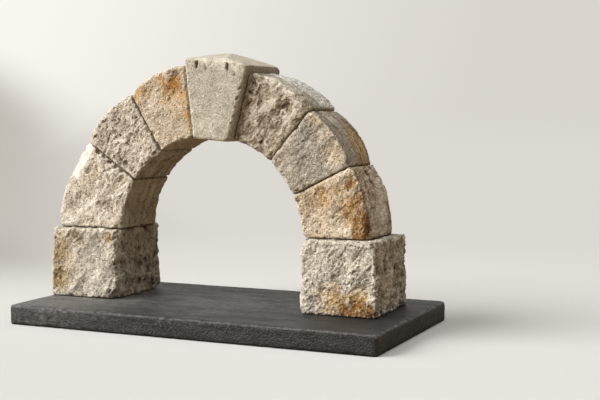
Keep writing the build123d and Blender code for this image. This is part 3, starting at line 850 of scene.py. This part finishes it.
studio = {  # in metres
    "floor": "#c8c6c3",
    "nook": "#a29f9b",  # painted shade on the floor at the left
    "wall": "#dcd8d2",
    "shade": "#c3beb6",  # painted shade on the wall at the left
    "glow": "#faf7f1",  # painted glow on the wall at the upper left
    "dusk": "#d9d5ce",  # painted shade, the wall higher up
    "bounce": "#8f7d62",  # what the paper throws back on the stones
    "recede": (0.1, 0.9),  # how far behind the object the floor fades into the backdrop
    "slant": (0.8, 0.6, 0.0),
    "aside": (-0.05, -0.26),  # along the slant, where the floor is painted in shade
    "recess": (0.18, -0.36),  # along the slant, where the wall is painted in shade
    "near": (0.0, 0.4),
    "lean": (-2.4, 0.36),  # left of this the painted shade on the wall reaches higher up, by so much a metre
    "lift": (-0.844, -0.564),
    "tilt": (0.42, 0.0, 1.0),
    "bright": (-1.35, -0.89),
    "across": (-0.4, -3.4),
    "floorSpan": 8.0,
    "floorDrop": -0.0002,
    "floorFront": -14.0,
    "wallHeight": 4.0,
    "sweep": 1.5,  # radius between floor and wall
    "keyFrom": (-0.68, -0.50, 0.48),
    "keyBlur": 50.0,
    "keyStrength": 4.85,
    "fillFrom": (0.20, -0.12, 0.97),
    "fillBlur": 60.0,
    "fillStrength": 1.7,
    "world": "#f3d9b0",
    "worldStrength": 0.07,
}
bpy.ops.object.select_all(action="DESELECT")
bpy.ops.mesh.primitive_plane_add(size=studio["floorSpan"], location=(0.0, 0.0, studio["floorDrop"]))
backdrop = bpy.context.object
backdrop.name = "backdrop"
bpy.ops.object.transform_apply(location=True)
backMost = max(vertex.co.y for vertex in backdrop.data.vertices)
for vertex in backdrop.data.vertices:
    if vertex.co.y < 0.0:
        vertex.co.y = studio["floorFront"]
bpy.ops.object.mode_set(mode="EDIT")
bpy.ops.mesh.select_mode(type="EDGE")
bpy.ops.mesh.select_all(action="DESELECT")
bpy.ops.object.mode_set(mode="OBJECT")
for edge in backdrop.data.edges:
    edge.select = all(backdrop.data.vertices[i].co.y > backMost - mm for i in edge.vertices)
bpy.ops.object.mode_set(mode="EDIT")
bpy.ops.mesh.extrude_region_move(TRANSFORM_OT_translate={"value": (0.0, 0.0, studio["wallHeight"])})
bpy.ops.object.mode_set(mode="OBJECT")
applyModifier(backdrop, "sweep", "BEVEL", width=studio["sweep"], segments=24, limit_method="ANGLE")
bpy.ops.object.shade_smooth()
paper = bpy.data.materials.new("backdropPaper")  # pale matt paper that throws little light back on the stones, with painted shade at the left and a painted glow at the upper left
paper.use_nodes = True
paperTree = paper.node_tree
paperTree.nodes.clear()
rays = addNode(paperTree, "ShaderNodeLightPath")
spot = addNode(paperTree, "ShaderNodeTexCoord").outputs["Object"]
slant = addNode(paperTree, "ShaderNodeVectorMath", (spot, studio["slant"]), operation="DOT_PRODUCT")
tilt = addNode(paperTree, "ShaderNodeVectorMath", (spot, studio["tilt"]), operation="DOT_PRODUCT")
spot = addNode(paperTree, "ShaderNodeSeparateXYZ", (spot,)).outputs
recede = addNode(paperTree, "ShaderNodeMapRange", (spot["Y"], *studio["recede"]), **softStep)
near = addNode(paperTree, "ShaderNodeMapRange", (spot["Y"], *studio["near"]), **softStep)
aside = addNode(paperTree, "ShaderNodeMapRange", (slant, *studio["aside"]), **softStep)
aside = addNode(paperTree, "ShaderNodeMath", (aside, near), operation="MULTIPLY")
recess = addNode(paperTree, "ShaderNodeMapRange", (slant, *studio["recess"]), **softStep)
recess = addNode(paperTree, "ShaderNodeMath", (recess, near), operation="MULTIPLY")
leanFrom, leanSlope = studio["lean"]
lift = addNode(paperTree, "ShaderNodeMath", (spot["X"], leanFrom), operation="MINIMUM")
lift = addNode(paperTree, "ShaderNodeMath", (lift, leanSlope, spot["Z"]), operation="MULTIPLY_ADD")
lift = addNode(paperTree, "ShaderNodeMapRange", (lift, *studio["lift"]), **softStep)
bright = addNode(paperTree, "ShaderNodeMapRange", (tilt, *studio["bright"]), **softStep)
across = addNode(paperTree, "ShaderNodeMapRange", (spot["X"], *studio["across"]), **softStep)
across = addNode(paperTree, "ShaderNodeMath", (across, lift), operation="MULTIPLY")
across = addNode(paperTree, "ShaderNodeMath", (across, bright), operation="MULTIPLY")
# the floor is painted in shade at the left
floorTone = {0: aside, 6: hexColour(studio["floor"]), 7: hexColour(studio["nook"])}
floorTone = addNode(paperTree, "ShaderNodeMix", floorTone, data_type="RGBA")
wallTone = hexColour(studio["wall"])
for amount, tint in ((recess, "shade"), (lift, "dusk"), (across, "glow")):  # a soft sweep, no horizon, with painted shade and a painted glow
    wallTone = {0: amount, 6: wallTone, 7: hexColour(studio[tint])}
    wallTone = addNode(paperTree, "ShaderNodeMix", wallTone, data_type="RGBA")
seen = addNode(paperTree, "ShaderNodeMath", (rays.outputs["Is Glossy Ray"], recede), operation="MULTIPLY")
for rayName in ("Is Camera Ray", "Is Transmission Ray"):
    seen = addNode(paperTree, "ShaderNodeMath", (rays.outputs[rayName], seen), operation="MAXIMUM")
litTone = {0: seen, 6: hexColour(studio["bounce"]), 7: floorTone}
litTone = addNode(paperTree, "ShaderNodeMix", litTone, data_type="RGBA")
litPaper = addNode(paperTree, "ShaderNodeBsdfDiffuse", (litTone,))
farPaper = addNode(paperTree, "ShaderNodeEmission", (wallTone,))
far = addNode(paperTree, "ShaderNodeMath", (seen, recede), operation="MULTIPLY")
paperShader = addNode(paperTree, "ShaderNodeMixShader", (far, litPaper, farPaper))
addNode(paperTree, "ShaderNodeOutputMaterial", (paperShader,))
backdrop.data.materials.append(paper)

for lampName in ("key", "fill"):
    bpy.ops.object.light_add(type="SUN", location=studio[lampName + "From"])
    lamp = bpy.context.object
    lamp.data.energy = studio[lampName + "Strength"]
    lamp.data.angle = math.radians(studio[lampName + "Blur"])
    lamp.rotation_euler = (-lamp.location).to_track_quat("-Z", "Y").to_euler()

world = bpy.data.worlds.new("softBox")
bpy.context.scene.world = world
world.use_nodes = True
worldTree = world.node_tree
worldTree.nodes.clear()
glow = addNode(worldTree, "ShaderNodeBackground", (hexColour(studio["world"]), studio["worldStrength"]))
pale = addNode(worldTree, "ShaderNodeBackground", (hexColour(studio["glow"]), 1.0))
skyRays = addNode(worldTree, "ShaderNodeLightPath")
seenSky = 0.0
for rayName in ("Is Camera Ray", "Is Glossy Ray", "Is Transmission Ray"):
    seenSky = addNode(worldTree, "ShaderNodeMath", (skyRays.outputs[rayName], seenSky), operation="MAXIMUM")
sky = addNode(worldTree, "ShaderNodeMixShader", (seenSky, glow, pale))
addNode(worldTree, "ShaderNodeOutputWorld", (sky,))

view = {"place": (0.54993, -1.05080, 0.21458), "yaw": 24.12, "pitch": 4.27, "lens": 69.55, "sensor": 36.0}
bpy.ops.object.camera_add(location=view["place"])
camera = bpy.context.object
yaw, pitch = math.radians(view["yaw"]), math.radians(view["pitch"])
ahead = Vector((-math.sin(yaw) * math.cos(pitch), math.cos(yaw) * math.cos(pitch), -math.sin(pitch)))
camera.rotation_euler = ahead.to_track_quat("-Z", "Y").to_euler()
camera.data.lens = view["lens"]
camera.data.sensor_width = view["sensor"]
camera.data.sensor_fit = "HORIZONTAL"
bpy.context.scene.camera = camera
bpy.context.scene.view_settings.view_transform = "Standard"
print("studio done")
